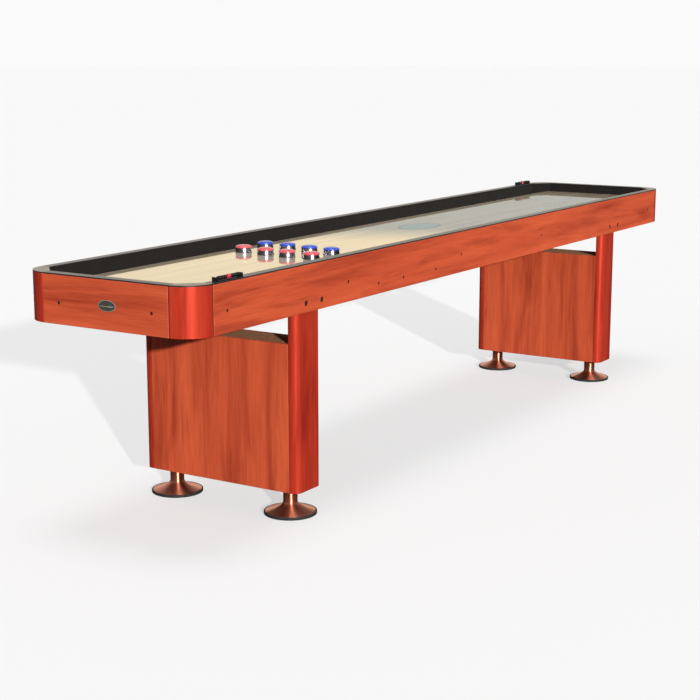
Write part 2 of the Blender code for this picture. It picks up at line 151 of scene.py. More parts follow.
# ---------------------------------------------------------------- node materials
class Finish:
    """One Principled material, with short calls that add nodes and wire them up."""

    def __init__(self, name, colour=(0.5, 0.5, 0.5), roughness=0.5, **sockets):
        self.material = bpy.data.materials.new(name)
        self.material.use_nodes = True
        self.tree = self.material.node_tree
        self.shader = self.tree.nodes["Principled BSDF"]
        self.put(self.shader, "Base Color", (*colour, 1.0))
        self.put(self.shader, "Roughness", roughness)
        for socket, value in sockets.items():
            self.put(self.shader, socket.replace("_", " "), value)
        self.place = self.add("ShaderNodeTexCoord").outputs["Object"]

    def put(self, node, socket, value):
        if isinstance(value, bpy.types.NodeSocket):
            self.tree.links.new(value, node.inputs[socket])
        else:
            node.inputs[socket].default_value = value

    def add(self, kind, inputs=None, **settings):
        node = self.tree.nodes.new(kind)
        for setting, value in settings.items():
            setattr(node, setting, value)
        for socket, value in (inputs or {}).items():
            self.put(node, socket, value)
        return node

    def stretched(self, scale, shift=(0, 0, 0)):
        return self.add("ShaderNodeMapping", {"Vector": self.place, "Scale": scale,
                                              "Location": shift}).outputs["Vector"]

    def noise(self, vector, scale=1.0, detail=2.0, roughness=0.5, distortion=0.0):
        return self.add("ShaderNodeTexNoise", {
            "Vector": vector, "Scale": scale, "Detail": detail, "Roughness": roughness,
            "Distortion": distortion}).outputs["Fac"]

    def ramp(self, factor, *stops):
        """Colours or greys at positions: (position, value), values as numbers or triples."""
        node = self.add("ShaderNodeValToRGB", {"Fac": factor})
        elements = node.color_ramp.elements
        while len(elements) < len(stops):
            elements.new(1.0)
        for element, (position, value) in zip(elements, stops):
            triple = value if isinstance(value, tuple) else (value, value, value)
            element.position = position
            element.color = (*triple, 1.0)
        return node.outputs["Color"]

    def mix(self, factor, a, b, blend="MIX"):
        node = self.add("ShaderNodeMix", data_type="RGBA", blend_type=blend)
        self.put(node, 0, factor)
        for index, value in ((6, a), (7, b)):
            self.put(node, index, (*value, 1.0) if isinstance(value, tuple) else value)
        return node.outputs[2]

    def maths(self, operation, a, b=0.0):
        node = self.add("ShaderNodeMath", operation=operation)
        self.put(node, 0, a)
        self.put(node, 1, b)
        return node.outputs[0]

    def colour(self, value):
        self.put(self.shader, "Base Color", value)

    def rough(self, factor, low, high):
        spread = self.add("ShaderNodeMapRange", {"Value": factor, "To Min": low, "To Max": high})
        self.put(self.shader, "Roughness", spread.outputs["Result"])

    def painted_crease_shade(self, colour, reach=0.006, dark=0.30):
        """Painted shade: darkens a colour in joints and corners, wherever an ambient occlusion node
        finds other surfaces close by.
        """
        open_air = self.add("ShaderNodeAmbientOcclusion", {"Distance": reach}, samples=6)
        return self.mix(1.0, colour, self.ramp(open_air.outputs["AO"], (0.35, dark), (0.85, 1.0)),
                        "MULTIPLY")

    def worn_edges(self, colour, worn, radius=0.0016, amount=0.7):
        """Rubs a lighter colour through along the sharp edges."""
        soft = self.add("ShaderNodeBevel", {"Radius": radius}, samples=4)
        sharp = self.add("ShaderNodeNewGeometry").outputs["Normal"]
        turn = self.add("ShaderNodeVectorMath", {0: soft.outputs["Normal"], 1: sharp},
                        operation="DOT_PRODUCT").outputs["Value"]
        patchy = self.noise(self.place, 60, 3, 0.7)
        edge = self.maths("MULTIPLY", self.ramp(turn, (0.90, amount), (0.99, 0.0)), patchy)
        return self.mix(edge, colour, worn)

    def bump(self, height, strength, distance=0.001):
        node = self.add("ShaderNodeBump", {"Height": height, "Strength": strength,
                                           "Distance": distance})
        self.put(self.shader, "Normal", node.outputs["Normal"])


def grain_scale(axis, along, across):
    """Texture scale that is stretched along one axis, 0 to 2."""
    return tuple(along if index == axis else across for index in range(3))


def laminate(name, axis, shift):
    """Cherry-red laminate: broad darker figure, arched grain and fine pores along one axis."""
    f = Finish(name, roughness=0.42, Specular_IOR_Level=0.25)
    broad = f.noise(f.stretched(grain_scale(axis, 1.5, 17), shift), 1.0, 4, 0.55, 0.6)
    smudge = f.noise(f.stretched(grain_scale(axis, 3.2, 26), shift), 1.0, 3, 0.6, 0.3)
    fine = f.noise(f.stretched(grain_scale(axis, 9, 330), shift), 1.0, 3, 0.6)
    pores = f.noise(f.stretched(grain_scale(axis, 40, 900), shift), 1.0, 1, 0.5)
    base = f.ramp(broad, (0.30, (0.345, 0.044, 0.018)), (0.47, (0.500, 0.078, 0.030)),
                  (0.70, (0.605, 0.104, 0.040)))
    darker = f.ramp(smudge, (0.27, (0.64, 0.55, 0.54)), (0.45, (1.0, 1.0, 1.0)))
    tone = f.mix(0.65, base, darker, "MULTIPLY")
    lines = f.ramp(fine, (0.30, (0.80, 0.74, 0.70)), (0.55, (1.0, 1.0, 1.0)),
                   (0.80, (1.06, 1.08, 1.10)))
    grain = f.mix(0.8, tone, lines, "MULTIPLY")
    # painted shade: the grain and its worn edges are darkened in joints and corners
    f.colour(f.painted_crease_shade(f.worn_edges(grain, (0.58, 0.14, 0.065))))
    f.rough(fine, 0.34, 0.50)
    f.bump(f.mix(0.5, fine, pores), 0.10, 0.0004)
    return f.material


def stained_wood(name, shift):
    """Solid wood under a deep red lacquer, its grain upright."""
    f = Finish(name, roughness=0.34, Metallic=0.35, Coat_Weight=0.35, Coat_Roughness=0.16,
               Coat_IOR=1.45, Specular_IOR_Level=0.2)
    streaks = f.noise(f.stretched((26, 26, 1.8), shift), 1.0, 4, 0.6, 0.5)
    fine = f.noise(f.stretched((240, 240, 9), shift), 1.0, 2, 0.5)
    base = f.ramp(streaks, (0.30, (0.38, 0.023, 0.011)), (0.50, (0.55, 0.044, 0.019)),
                  (0.72, (0.64, 0.060, 0.026)))
    lines = f.ramp(fine, (0.25, (0.84, 0.80, 0.80)), (0.60, (1.0, 1.0, 1.0)))
    stain = f.mix(0.7, base, lines, "MULTIPLY")
    # painted shade: the stain and its worn edges are darkened in joints and corners
    f.colour(f.painted_crease_shade(f.worn_edges(stain, (0.60, 0.13, 0.06), 0.0012, 0.5)))
    f.rough(streaks, 0.30, 0.40)
    f.bump(fine, 0.06, 0.0003)
    return f.material


def maple(name):
    """Maple staves glued side by side along the table, under a thick clear finish."""
    f = Finish(name, roughness=0.30, Coat_Weight=1.0, Coat_Roughness=0.015, Coat_IOR=1.5,
               Specular_IOR_Level=0.1)
    stave = 0.034
    parts = f.add("ShaderNodeSeparateXYZ", {"Vector": f.place})
    row = f.maths("FLOOR", f.maths("DIVIDE", parts.outputs["Y"], stave))
    row_noise = f.add("ShaderNodeTexWhiteNoise", {"W": row}, noise_dimensions="1D")
    shifted = f.maths("ADD", parts.outputs["X"], f.maths("MULTIPLY", row_noise.outputs["Value"], 3))
    piece = f.maths("FLOOR", f.maths("DIVIDE", shifted, 0.62))
    cell = f.add("ShaderNodeCombineXYZ", {"X": piece, "Y": row})
    tone = f.add("ShaderNodeTexWhiteNoise", {"Vector": cell.outputs["Vector"]},
                 noise_dimensions="2D").outputs["Value"]
    own = f.add("ShaderNodeCombineXYZ", {
        "X": f.maths("MULTIPLY", parts.outputs["X"], 2.2),
        "Y": f.maths("MULTIPLY", parts.outputs["Y"], 120),
        "Z": f.maths("MULTIPLY", tone, 40)}).outputs["Vector"]
    figure = f.noise(own, 1.0, 3, 0.55, 0.4)
    base = f.ramp(tone, (0.0, (0.31, 0.235, 0.155)), (0.5, (0.37, 0.285, 0.195)),
                  (1.0, (0.42, 0.33, 0.23)))
    lines = f.ramp(figure, (0.28, (0.86, 0.80, 0.72)), (0.55, (1.0, 1.0, 1.0)),
                   (0.80, (1.04, 1.05, 1.05)))
    edge = f.maths("FRACT", f.maths("DIVIDE", parts.outputs["Y"], stave))
    joint = f.ramp(edge, (0.0, 0.82), (0.03, 1.0), (0.97, 1.0), (1.0, 0.82))
    f.colour(f.mix(0.8, f.mix(0.6, base, lines, "MULTIPLY"), joint, "MULTIPLY"))
    f.rough(figure, 0.25, 0.36)
    return f.material


def carpet(name):
    """Short black pile."""
    f = Finish(name, roughness=0.95, Sheen_Weight=0.05, Sheen_Roughness=0.6,
               Specular_IOR_Level=0.15)
    f.put(f.shader, "Sheen Tint", (0.55, 0.52, 0.50, 1.0))
    tufts = f.noise(f.place, 700, 3, 0.7)
    patches = f.noise(f.place, 22, 3, 0.6)
    base = f.ramp(tufts, (0.30, (0.005, 0.0045, 0.004)), (0.70, (0.016, 0.0135, 0.012)))
    f.colour(f.mix(0.35, base, f.ramp(patches, (0.3, 0.55), (0.7, 1.25)), "MULTIPLY"))
    f.bump(tufts, 0.7, 0.0015)
    return f.material


def raw_board(name):
    """Uncoated brown particle board: chips of several tones."""
    f = Finish(name, roughness=0.85, Specular_IOR_Level=0.2)
    chips = f.add("ShaderNodeTexVoronoi", {"Vector": f.place, "Scale": 260.0}).outputs["Color"]
    shade = f.add("ShaderNodeSeparateColor", {"Color": chips}).outputs[0]
    cloud = f.noise(f.place, 9, 4, 0.6)
    base = f.ramp(shade, (0.0, (0.31, 0.150, 0.075)), (0.5, (0.41, 0.205, 0.105)),
                  (1.0, (0.51, 0.270, 0.145)))
    f.colour(f.mix(0.4, base, f.ramp(cloud, (0.3, 0.75), (0.7, 1.15)), "MULTIPLY"))
    f.bump(f.noise(f.place, 500, 2), 0.35, 0.0006)
    return f.material


def satin_coat(name, colour, low, high, metallic=0.0, shine=0.5):
    """Powder coat or moulded trim: faint orange peel and rubbed patches."""
    f = Finish(name, colour, roughness=low, Metallic=metallic, Specular_IOR_Level=shine)
    cloud = f.noise(f.place, 40, 4, 0.6)
    bright = tuple(min(1.0, 1.5 * value + 0.004) for value in colour)
    f.colour(f.mix(f.ramp(cloud, (0.35, 0.0), (0.75, 1.0)), colour, bright))
    f.rough(cloud, low, high)
    f.bump(f.noise(f.place, 900, 2), 0.05, 0.0003)
    return f.material


def turned_metal(name, colour, low, high, anisotropic=0.0, relief=0.04):
    """Metal with fine lathe lines round its own upright axis."""
    f = Finish(name, colour, roughness=low, Metallic=1.0, Anisotropic=anisotropic)
    if anisotropic:
        f.put(f.shader, "Anisotropic Rotation", 0.25)
        tangent = f.add("ShaderNodeTangent", direction_type="RADIAL", axis="Z")
        f.put(f.shader, "Tangent", tangent.outputs["Tangent"])
    parts = f.add("ShaderNodeSeparateXYZ", {"Vector": f.place})
    squares = [f.maths("MULTIPLY", parts.outputs[axis], parts.outputs[axis]) for axis in "XY"]
    radius = f.maths("SQRT", f.maths("ADD", *squares))
    lathe = f.add("ShaderNodeCombineXYZ", {
        "X": f.maths("MULTIPLY", radius, 1400), "Y": f.maths("MULTIPLY", parts.outputs["Z"], 1400)})
    lines = f.noise(lathe.outputs["Vector"], 1.0, 3, 0.6)
    cloud = f.noise(f.place, 30, 3, 0.6)
    dark = tuple(0.78 * value for value in colour)
    f.colour(f.mix(f.ramp(f.mix(0.6, cloud, lines), (0.35, 0.0), (0.65, 1.0)), dark, colour))
    f.rough(lines, low, high)
    f.bump(lines, relief, 0.0002)
    return f.material


def plastic(name, colour, roughness=0.25, coat=0.4, shine=0.5):
    """Moulded plastic with a faint mottle and fine scuffs."""
    f = Finish(name, colour, roughness=roughness, Coat_Weight=coat, Coat_Roughness=0.08,
               Specular_IOR_Level=shine)
    mottle = f.noise(f.place, 160, 3, 0.6)
    dark = tuple(0.80 * value for value in colour)
    f.colour(f.mix(f.ramp(mottle, (0.3, 0.0), (0.7, 1.0)), dark, colour))
    f.rough(f.noise(f.place, 420, 4, 0.7), roughness * 0.7, roughness * 1.5)
    f.bump(mottle, 0.04, 0.0003)
    return f.material


def printed(name, colour):
    """Ink under the clear finish of the playfield, a little worn."""
    f = Finish(name, colour, roughness=0.30, Specular_IOR_Level=0.1, Coat_Weight=1.0,
               Coat_Roughness=0.015, Coat_IOR=1.5)
    speckle = f.noise(f.stretched((40, 400, 1)), 1.0, 3, 0.6)
    pale = tuple(1.25 * value + 0.01 for value in colour)
    f.colour(f.mix(f.ramp(speckle, (0.35, 0.0), (0.75, 1.0)), colour, pale))
    f.rough(speckle, 0.25, 0.40)
    return f.material


def rubber(name):
    """Black rubber, dusty in patches."""
    f = Finish(name, (0.018, 0.018, 0.018), roughness=0.7, Specular_IOR_Level=0.3)
    cloud = f.noise(f.place, 60, 4, 0.65)
    f.colour(f.ramp(cloud, (0.3, (0.012, 0.012, 0.012)), (0.7, (0.034, 0.032, 0.030))))
    f.rough(cloud, 0.55, 0.85)
    f.bump(f.noise(f.place, 800, 2), 0.25, 0.0005)
    return f.material


MAT = {
    "laminate_x": laminate("laminate_grain_along", 0, (0.3, 2.0, 5.1)),
    "laminate_y": laminate("laminate_grain_across", 1, (1.7, 0.4, 2.6)),
    "laminate_z": laminate("laminate_grain_upright", 2, (0.9, 1.3, 0.2)),
    "stained": stained_wood("stained_post", (0.0, 0.0, 0.0)),
    "maple": maple("maple_playfield"),
    "carpet": carpet("black_carpet"),
    "board": raw_board("raw_board"),
    "trim": satin_coat("rail_trim", (0.040, 0.040, 0.056), 0.26, 0.38, 0.0, 0.24),
    "edge": satin_coat("rail_edge", (0.010, 0.010, 0.011), 0.30, 0.45),
    "cap": satin_coat("rail_cap", (0.135, 0.117, 0.094), 0.24, 0.38, 0.0, 0.32),
    "frame": satin_coat("scorer_frame", (0.005, 0.005, 0.006), 0.45, 0.60, 0.0, 0.15),
    "copper": turned_metal("brushed_copper", (0.74, 0.265, 0.160), 0.36, 0.46, 0.88),
    "chrome": turned_metal("puck_chrome", (0.46, 0.46, 0.49), 0.20, 0.26, 0.0, 0.005),
    "steel": turned_metal("rod_steel", (0.55, 0.55, 0.56), 0.20, 0.35),
    "dark_steel": satin_coat("blackened_steel", (0.016, 0.014, 0.013), 0.40, 0.55, 0.0, 0.3),
    "nickel": satin_coat("brushed_nickel", (0.23, 0.22, 0.19), 0.34, 0.48, 0.15),
    "badge_field": satin_coat("badge_field", (0.085, 0.090, 0.075), 0.35, 0.50, 0.6),
    "rubber": rubber("black_rubber"),
    "cap_red": plastic("puck_cap_red", (0.68, 0.085, 0.105)),
    "cap_blue": plastic("puck_cap_blue", (0.025, 0.070, 0.52)),
    "bead": plastic("bead_black", (0.005, 0.005, 0.0055), 0.30, 0.15, 0.2),
    "marker": plastic("bead_red", (0.58, 0.018, 0.045), 0.22, 0.6),
    "emblem": printed("emblem_print", (0.130, 0.215, 0.205)),
    "emblem_ring": printed("emblem_outline", (0.050, 0.070, 0.075)),
}


# ---------------------------------------------------------------- mesh helpers
def add_piece(name, bm, material, body=TABLE, replaces=(), place=None, smooth=35):
    """A finished piece: outward faces, smooth where it is round, riding on its body."""
    bmesh.ops.recalc_face_normals(bm, faces=bm.faces)
    mesh = bpy.data.meshes.new(name)
    bm.to_mesh(mesh)
    bm.free()
    return add_mesh(name, mesh, material, body, replaces, place, smooth)


def add_mesh(name, mesh, material, body=TABLE, replaces=(), place=None, smooth=35):
    """The same from a mesh; place is a point or a whole matrix, smooth an angle in degrees."""
    if smooth:
        mesh.shade_smooth()
        mesh.set_sharp_from_angle(angle=math.radians(smooth))
    if not mesh.materials:
        mesh.materials.append(MAT[material])
    obj = bpy.data.objects.new(name, mesh)
    if place is not None:
        obj.matrix_world = place if isinstance(place, Matrix) else Matrix.Translation(place)
    bpy.context.scene.collection.objects.link(obj)
    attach(obj, body)
    if replaces:
        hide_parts(*replaces)
    return obj


def weigh_normals(obj):
    """Keeps broad faces flat-looking next to their rounded edges."""
    mod = obj.modifiers.new("normals", "WEIGHTED_NORMAL")
    mod.keep_sharp = True
    mod.weight = 100


def prism(outline, low, high, edge, steps=3, upright=20):
    """A flat outline extruded upwards, with rounded rims and rounded upright corners."""
    bm = bmesh.new()
    face = bm.faces.new([bm.verts.new((x, y, low)) for x, y in outline])
    made = bmesh.ops.extrude_face_region(bm, geom=[face])["geom"]
    top = [v for v in made if isinstance(v, bmesh.types.BMVert)]
    bmesh.ops.translate(bm, verts=top, vec=(0, 0, high - low))
    bmesh.ops.recalc_face_normals(bm, faces=bm.faces)
    if edge:
        sharp = [e for e in bm.edges if e.calc_face_angle() > math.radians(upright)]
        bmesh.ops.bevel(bm, geom=sharp, offset=edge, segments=steps, profile=0.5,
                        affect="EDGES", clamp_overlap=True)
    return bm


def block(low, high, edge, steps=3):
    outline = [(low[0], low[1]), (high[0], low[1]), (high[0], high[1]), (low[0], high[1])]
    return prism(outline, low[2], high[2], edge, steps)


def arc(centre, radius, start, end, steps):
    """Points on an arc, angles in degrees."""
    turns = [math.radians(start + (end - start) * step / steps) for step in range(steps + 1)]
    return [(centre[0] + radius * math.cos(t), centre[1] + radius * math.sin(t)) for t in turns]


def turned(profile, steps=TURNED_STEPS):
    """Turns (radius, height) points about +Z; a radius of 0 makes a pole, none makes a ring."""
    bm = bmesh.new()
    rings = []
    for radius, height in profile:
        if radius == 0:
            rings.append([bm.verts.new((0, 0, height))])
            continue
        turns = [2 * math.pi * step / steps for step in range(steps)]
        rings.append([bm.verts.new((radius * math.cos(t), radius * math.sin(t), height))
                      for t in turns])
    pairs = list(zip(rings, rings[1:]))
    if profile[0][0] != 0:
        pairs.append((rings[-1], rings[0]))
    for lower, upper in pairs:
        for step in range(steps):
            after = (step + 1) % steps
            corners = [lower[step % len(lower)], lower[after % len(lower)],
                       upper[after % len(upper)], upper[step % len(upper)]]
            bm.faces.new(list(dict.fromkeys(corners)))
    return bm


def rounded(profile, corners, steps=4):
    """Rounds chosen corners of a profile: corners is {index: radius}."""
    points = []
    for index, point in enumerate(profile):
        radius = corners.get(index)
        if not radius:
            points.append(point)
            continue
        here = Vector(point)
        before = (Vector(profile[index - 1]) - here).normalized() * radius
        after = (Vector(profile[index + 1]) - here).normalized() * radius
        for step in range(steps + 1):
            t = step / steps
            curve = here + before * (1 - t) ** 2 + after * t ** 2
            points.append((curve.x, curve.y))
    return points


def carpet_slab(low, high, axis, side, cell=CARPET_CELL):
    """A carpeted board whose face on one side of an axis carries an uneven pile."""
    low, high = Vector(low), Vector(high)
    first, second = [a for a in range(3) if a != axis]
    face_at = high[axis] if side > 0 else low[axis]
    back_at = low[axis] if side > 0 else high[axis]
    counts = [max(2, round((high[a] - low[a]) / cell)) for a in (first, second)]
    bm = bmesh.new()
    rows = []
    for i in range(counts[0] + 1):
        row = []
        for j in range(counts[1] + 1):
            point = Vector((0, 0, 0))
            point[first] = low[first] + (high[first] - low[first]) * i / counts[0]
            point[second] = low[second] + (high[second] - low[second]) * j / counts[1]
            point[axis] = face_at
            swell = 0.5 + 0.5 * noise.noise(point * 130) + 0.25 * noise.noise(point * 31)
            point[axis] -= side * CARPET_PILE * min(1.0, max(0.0, swell))
            row.append(bm.verts.new(point))
        rows.append(row)
    for i in range(counts[0]):
        for j in range(counts[1]):
            bm.faces.new((rows[i][j], rows[i + 1][j], rows[i + 1][j + 1], rows[i][j + 1]))
    rim = rows[0][:] + [row[-1] for row in rows[1:]]
    rim += rows[-1][-2::-1] + [row[0] for row in rows[-2:0:-1]]
    back = []
    for vert in rim:
        point = vert.co.copy()
        point[axis] = back_at
        back.append(bm.verts.new(point))
    for here in range(len(rim)):
        after = (here + 1) % len(rim)
        bm.faces.new((rim[here], rim[after], back[after], back[here]))
    bm.faces.new(back)
    return bm


def subtract(obj, cutter_mesh):
    """The mesh of a piece with a shape cut out of it."""
    cutter = bpy.data.objects.new("cutter", cutter_mesh)
    bpy.context.scene.collection.objects.link(cutter)
    mod = obj.modifiers.new("cut", "BOOLEAN")
    mod.operation = "DIFFERENCE"
    mod.solver = "EXACT"
    mod.object = cutter
    bpy.context.view_layer.update()
    graph = bpy.context.evaluated_depsgraph_get()
    mesh = bpy.data.meshes.new_from_object(obj.evaluated_get(graph))
    obj.modifiers.clear()
    bpy.data.objects.remove(cutter)
    return mesh


def facing(place, direction):
    """A frame at a place whose +Z looks along direction."""
    turn = Vector((0, 0, 1)).rotation_difference(Vector(direction)).to_matrix().to_4x4()
    return Matrix.Translation(place) @ turn


# ---------------------------------------------------------------- carried-over boards
def finish_boards():
    """CAD boards whose shape is right get their real finishes."""
    finishes = {}
    for side in ("front", "back"):
        finishes[f"side_apron_{side}"] = "laminate_x"
    for side in ("left", "right"):
        finishes[f"end_apron_{side}"] = "laminate_y"
        finishes[f"leg_panel_{side}_outer"] = "laminate_z"
        finishes[f"leg_panel_{side}_inner"] = "laminate_z"
        finishes[f"leg_top_board_{side}"] = "board"
        finishes[f"leg_base_board_{side}"] = "board"
        finishes[f"cross_rail_{side}"] = "board"
    for node, material in finishes.items():
        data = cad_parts[node].data
        data.materials.clear()
        data.materials.append(MAT[material])


# ---------------------------------------------------------------- cabinet
def corner_outline(low, high, sign_x, sign_y, inset, rounding=False, steps=48):
    """Quarter-round outside, straight diagonal inside, within a corner's box."""
    outer_x = high.x if sign_x > 0 else low.x
    outer_y = high.y if sign_y > 0 else low.y
    radius = high.x - low.x
    centre = (outer_x - sign_x * radius, outer_y - sign_y * radius)
    edge = POST_ROUNDING if rounding else 0.0
    turn = math.degrees(math.asin(edge / radius))
    outside = arc((0, 0), radius, turn, 90 - turn, steps)
    if rounding:
        outside = (arc((radius - edge, edge), edge, -90, 0, 8)[:-1] + outside
                   + arc((edge, radius - edge), edge, 90, 180, 8)[1:])
    inside = [(0, radius - inset), (radius - inset, 0)]
    return [(centre[0] + sign_x * x, centre[1] + sign_y * y) for x, y in outside + inside]


def blacken_sides(obj):
    """The upright faces of a rail piece are bare black."""
    obj.data.materials.append(MAT["edge"])
    for face in obj.data.polygons:
        face.material_index = 1 if abs(face.normal.z) < 0.6 else 0


def build_corners():
    trim_low, trim_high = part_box("rail_trim_left")
    inset = trim_high.x - trim_low.x
    for name, sign_x, sign_y in QUADRANTS:
        low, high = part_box(f"corner_post_{name}")
        outline = corner_outline(low, high, sign_x, sign_y, inset - CAP_OVERHANG, True)
        post = add_piece(f"post_{name}", prism(outline, low.z, high.z, POST_EDGE), "stained",
                         replaces=[f"corner_post_{name}"])
        weigh_normals(post)
        low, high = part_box(f"rail_cap_{name}")
        outline = corner_outline(low, high, sign_x, sign_y, inset)
        cap = add_piece(f"cap_{name}", prism(outline, low.z, high.z, TRIM_EDGE), "cap",
                        replaces=[f"rail_cap_{name}"])
        weigh_normals(cap)
        blacken_sides(cap)


def build_trim():
    for side in ("front", "back", "left", "right"):
        low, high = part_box(f"rail_trim_{side}")
        strip = add_piece(f"trim_{side}", block(low, high, TRIM_EDGE), "trim",
                          replaces=[f"rail_trim_{side}"])
        weigh_normals(strip)
        blacken_sides(strip)


def build_wall_lining():
    for side, axis, inward in (("front", 1, 1), ("back", 1, -1), ("left", 0, 1), ("right", 0, -1)):
        low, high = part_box(f"carpet_wall_{side}")
        add_piece(f"lining_{side}", carpet_slab(low, high, axis, inward), "carpet",
                  replaces=[f"carpet_wall_{side}"], smooth=60)


def build_gutter():
    """A raw board with cut corners, and a carpet glued on top."""
    low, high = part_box("gutter_floor")
    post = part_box("corner_post_back_right")[0]
    outline = []
    for sign_x, sign_y in ((1, 1), (-1, 1), (-1, -1), (1, -1)):
        corner = [(high.x, post.y - GUTTER_SETBACK), (post.x - GUTTER_SETBACK, high.y)]
        corner = [(sign_x * x, sign_y * y) for x, y in corner]
        outline += corner if sign_x * sign_y > 0 else corner[::-1]
    board = add_piece("gutter_board", prism(outline, low.z, high.z - GUTTER_CARPET, 0.001, 1),
                      "board", replaces=["gutter_floor"])
    weigh_normals(board)
    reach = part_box("carpet_wall_right")[0].x
    side_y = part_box("carpet_wall_back")[0].y
    slab = carpet_slab((-reach, -side_y, high.z - GUTTER_CARPET + GLUE_GAP),
                       (reach, side_y, high.z), 2, 1, GUTTER_CELL)
    diagonal = high.x + post.y - GUTTER_SETBACK - GUTTER_TUCK
    for _, sign_x, sign_y in QUADRANTS:
        clipped = bmesh.ops.bisect_plane(slab, geom=slab.verts[:] + slab.edges[:] + slab.faces[:],
                                         plane_co=(sign_x * diagonal, 0, 0),
                                         plane_no=(sign_x, sign_y, 0), clear_outer=True)
        rim = [item for item in clipped["geom_cut"] if isinstance(item, bmesh.types.BMEdge)]
        bmesh.ops.contextual_create(slab, geom=rim)
    add_piece("gutter_carpet", slab, "carpet", smooth=60)


def build_corner_lining():
    """Carpet on the diagonal inner faces of the corner posts."""
    trim_low, trim_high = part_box("rail_trim_left")
    inset = trim_high.x - trim_low.x
    wall_low, wall_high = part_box("carpet_wall_back")
    for name, sign_x, sign_y in QUADRANTS:
        low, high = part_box(f"corner_post_{name}")
        radius = high.x - low.x
        width = (radius - inset) * math.sqrt(2) + CORNER_LAP
        slab = carpet_slab((-width / 2, 0, wall_low.z), (width / 2, CORNER_CARPET, wall_high.z),
                           1, -1)
        outward = Vector((sign_x, sign_y, 0))
        outer = Vector((high.x if sign_x > 0 else low.x, high.y if sign_y > 0 else low.y, 0))
        centre = outer - outward * (radius - (radius - inset) / 2)
        centre -= outward.normalized() * (CORNER_CARPET + GLUE_GAP)
        angle = math.atan2(sign_y, sign_x) - math.pi / 2
        turn = Matrix.Translation(centre) @ Matrix.Rotation(angle, 4, "Z")
        bmesh.ops.transform(slab, matrix=turn, verts=slab.verts)
        add_piece(f"lining_corner_{name}", slab, "carpet", smooth=60)


def build_playfield():
    low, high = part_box("playfield")
    board = add_piece("playing_board", block(low, high, PLAYFIELD_EDGE, 4), "maple",
                      replaces=["playfield"])
    weigh_normals(board)
    turns = [2 * math.pi * step / EMBLEM_STEPS for step in range(EMBLEM_STEPS)]
    for name, share, material, top in EMBLEM_LAYERS:
        outline = [(EMBLEM_X + EMBLEM_HALF[0] * share * math.cos(t),
                    EMBLEM_HALF[1] * share * math.sin(t)) for t in turns]
        add_piece(name, prism(outline, high.z + EMBLEM_BASE, high.z + top, 0), material)


def badge_oval(share):
    turns = [2 * math.pi * step / BADGE_STEPS for step in range(BADGE_STEPS)]
    return [(BADGE_HALF[1] * share * math.sin(t), BADGE_HALF[0] * share * math.cos(t))
            for t in turns]


def build_badge():
    """A plain oval plate with a raised rim and one bar, let into its pocket in the end apron."""
    low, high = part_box("end_apron_left")
    place = facing((low.x + BADGE_DEPTH, BADGE_Y, high.z - BADGE_DROP), (-1, 0, 0))
    rim = prism(badge_oval(1.0), 0, BADGE_RIM_HEIGHT, 0.0005, 3, 30)
    add_piece("badge_rim", rim, "nickel", place=place)
    field = prism(badge_oval(BADGE_FIELD_SHARE), BADGE_RIM_HEIGHT, BADGE_FIELD_HEIGHT, 0)
    add_piece("badge_field", field, "badge_field", place=place)
    half_x, half_y = BADGE_HALF[1] * BADGE_BAR_SHARE[1], BADGE_HALF[0] * BADGE_BAR_SHARE[0]
    shift = BADGE_HALF[1] * BADGE_BAR_SHIFT
    bar = block((-half_x - shift, -half_y, BADGE_FIELD_HEIGHT),
                (half_x - shift, half_y, BADGE_DEPTH), 0.0002, 2)
    add_piece("badge_bar", bar, "nickel", place=place)


# ---------------------------------------------------------------- pedestals
def build_leg_posts():
    for name, _, sign_y in QUADRANTS:
        low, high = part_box(f"leg_post_{name}")
        outer_y = high.y if sign_y > 0 else low.y
        inner_y = low.y if sign_y > 0 else high.y
        round_y = outer_y - sign_y * LEG_ROUNDING
        left = arc((low.x + LEG_ROUNDING, round_y), LEG_ROUNDING, 180, 90, 16)
        right = arc((high.x - LEG_ROUNDING, round_y), LEG_ROUNDING, 90, 0, 16)
        outline = [(low.x, inner_y)]
        outline += [(x, round_y + sign_y * (y - round_y)) for x, y in left + right]
        outline += [(high.x, inner_y)]
        post = add_piece(f"leg_{name}", prism(outline, low.z, high.z, POST_EDGE), "stained",
                         replaces=[f"leg_post_{name}"])
        weigh_normals(post)


def foot_profile(rim, base, top):
    """A leveler's foot from its underside to the end of its threaded stem."""
    brim = base + FOOT_BRIM
    profile = [(0, base), (rim - 0.001, base), (rim, base + 0.001), (rim, brim - 0.0008),
               (rim - 0.0008, brim)]
    steps = 24
    for step in range(1, steps + 1):
        part = step / steps
        radius = NECK_RADIUS + (rim - 0.001 - NECK_RADIUS) * (1 - part) ** FLARE_POWER
        profile.append((radius, brim + (FLARE_TOP - brim) * part))
    profile += [(NECK_RADIUS, NECK_TOP - 0.002), (NECK_RADIUS - 0.002, NECK_TOP),
                (STEM_RADIUS, NECK_TOP)]
    height = NECK_TOP + 0.002
    while height < top - 2 * THREAD_PITCH:
        profile += [(STEM_RADIUS, height), (STEM_RADIUS - THREAD_DEPTH, height + THREAD_PITCH / 2)]
        height += THREAD_PITCH
    return profile + [(STEM_RADIUS - 0.001, top), (0, top)]


def pad_profile(radius, thick, inside, seat):
    """A rubber cup with a hollow underside; the foot's rim sits inside it, on its seat."""
    hollow = 0.0016
    profile = [(0, hollow), (radius * 0.55, hollow), (radius * 0.58, 0), (radius, 0),
               (radius, thick), (inside, thick), (inside, seat), (0, seat)]
    return rounded(profile, {3: 0.003, 4: 0.0020, 5: 0.0016})


